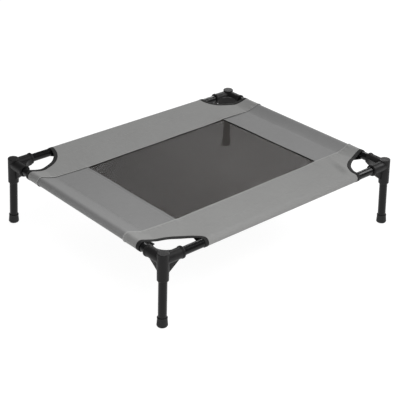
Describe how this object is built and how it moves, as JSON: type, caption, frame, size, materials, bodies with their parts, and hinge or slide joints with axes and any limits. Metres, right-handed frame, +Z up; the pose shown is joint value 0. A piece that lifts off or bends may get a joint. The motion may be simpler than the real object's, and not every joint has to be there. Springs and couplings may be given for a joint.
{
  "type": "raised dog cot",
  "caption": "Raised dog cot: a push-together tube frame with moulded corners and plug-in legs holds a stretched cloth cover with a mesh centre.",
  "frame": {"origin": "on the floor, under the middle of the cot", "axes": "+X along the long side to the right, +Y along the short side to the rear, +Z up"},
  "size_m": [0.7574, 0.6174, 0.1786],
  "materials": {
    "connector_plastic": "moulded, satin",
    "tube_steel": "powder coat, semi-gloss",
    "foot_rubber": "moulded, matt",
    "panel_cloth": "plain weave, coated back",
    "mesh_cloth": "open weave, coated yarn",
    "binding_tape": "ribbed tape"
  },
  "bodies": {
    "frame": {"connector_front_left": "connector_plastic", "connector_front_right": "connector_plastic", "connector_rear_left": "connector_plastic", "connector_rear_right": "connector_plastic", "long_rail_front": "tube_steel", "long_rail_rear": "tube_steel", "end_rail_left": "tube_steel", "end_rail_right": "tube_steel", "long_panel_front": "panel_cloth", "long_panel_rear": "panel_cloth", "end_panel_left": "panel_cloth", "end_panel_right": "panel_cloth", "mesh_panel": "mesh_cloth", "tape_front_left": "binding_tape", "tape_front_right": "binding_tape", "tape_rear_left": "binding_tape", "tape_rear_right": "binding_tape"},
    "front_left_leg": {"leg_front_left": "tube_steel", "foot_front_left": "foot_rubber"},
    "front_right_leg": {"leg_front_right": "tube_steel", "foot_front_right": "foot_rubber"},
    "rear_left_leg": {"leg_rear_left": "tube_steel", "foot_rear_left": "foot_rubber"},
    "rear_right_leg": {"leg_rear_right": "tube_steel", "foot_rear_right": "foot_rubber"}
  },
  "joints": [
    {"name": "front_left_leg_slide", "type": "slide", "parent": "frame", "child": "front_left_leg", "axis": [-0.037, -0.037, -0.9986], "range_m": [0, 0.045]},
    {"name": "front_right_leg_slide", "type": "slide", "parent": "frame", "child": "front_right_leg", "axis": [0.037, -0.037, -0.9986], "range_m": [0, 0.045]},
    {"name": "rear_left_leg_slide", "type": "slide", "parent": "frame", "child": "rear_left_leg", "axis": [-0.037, 0.037, -0.9986], "range_m": [0, 0.045]},
    {"name": "rear_right_leg_slide", "type": "slide", "parent": "frame", "child": "rear_right_leg", "axis": [0.037, 0.037, -0.9986], "range_m": [0, 0.045]}
  ]
}
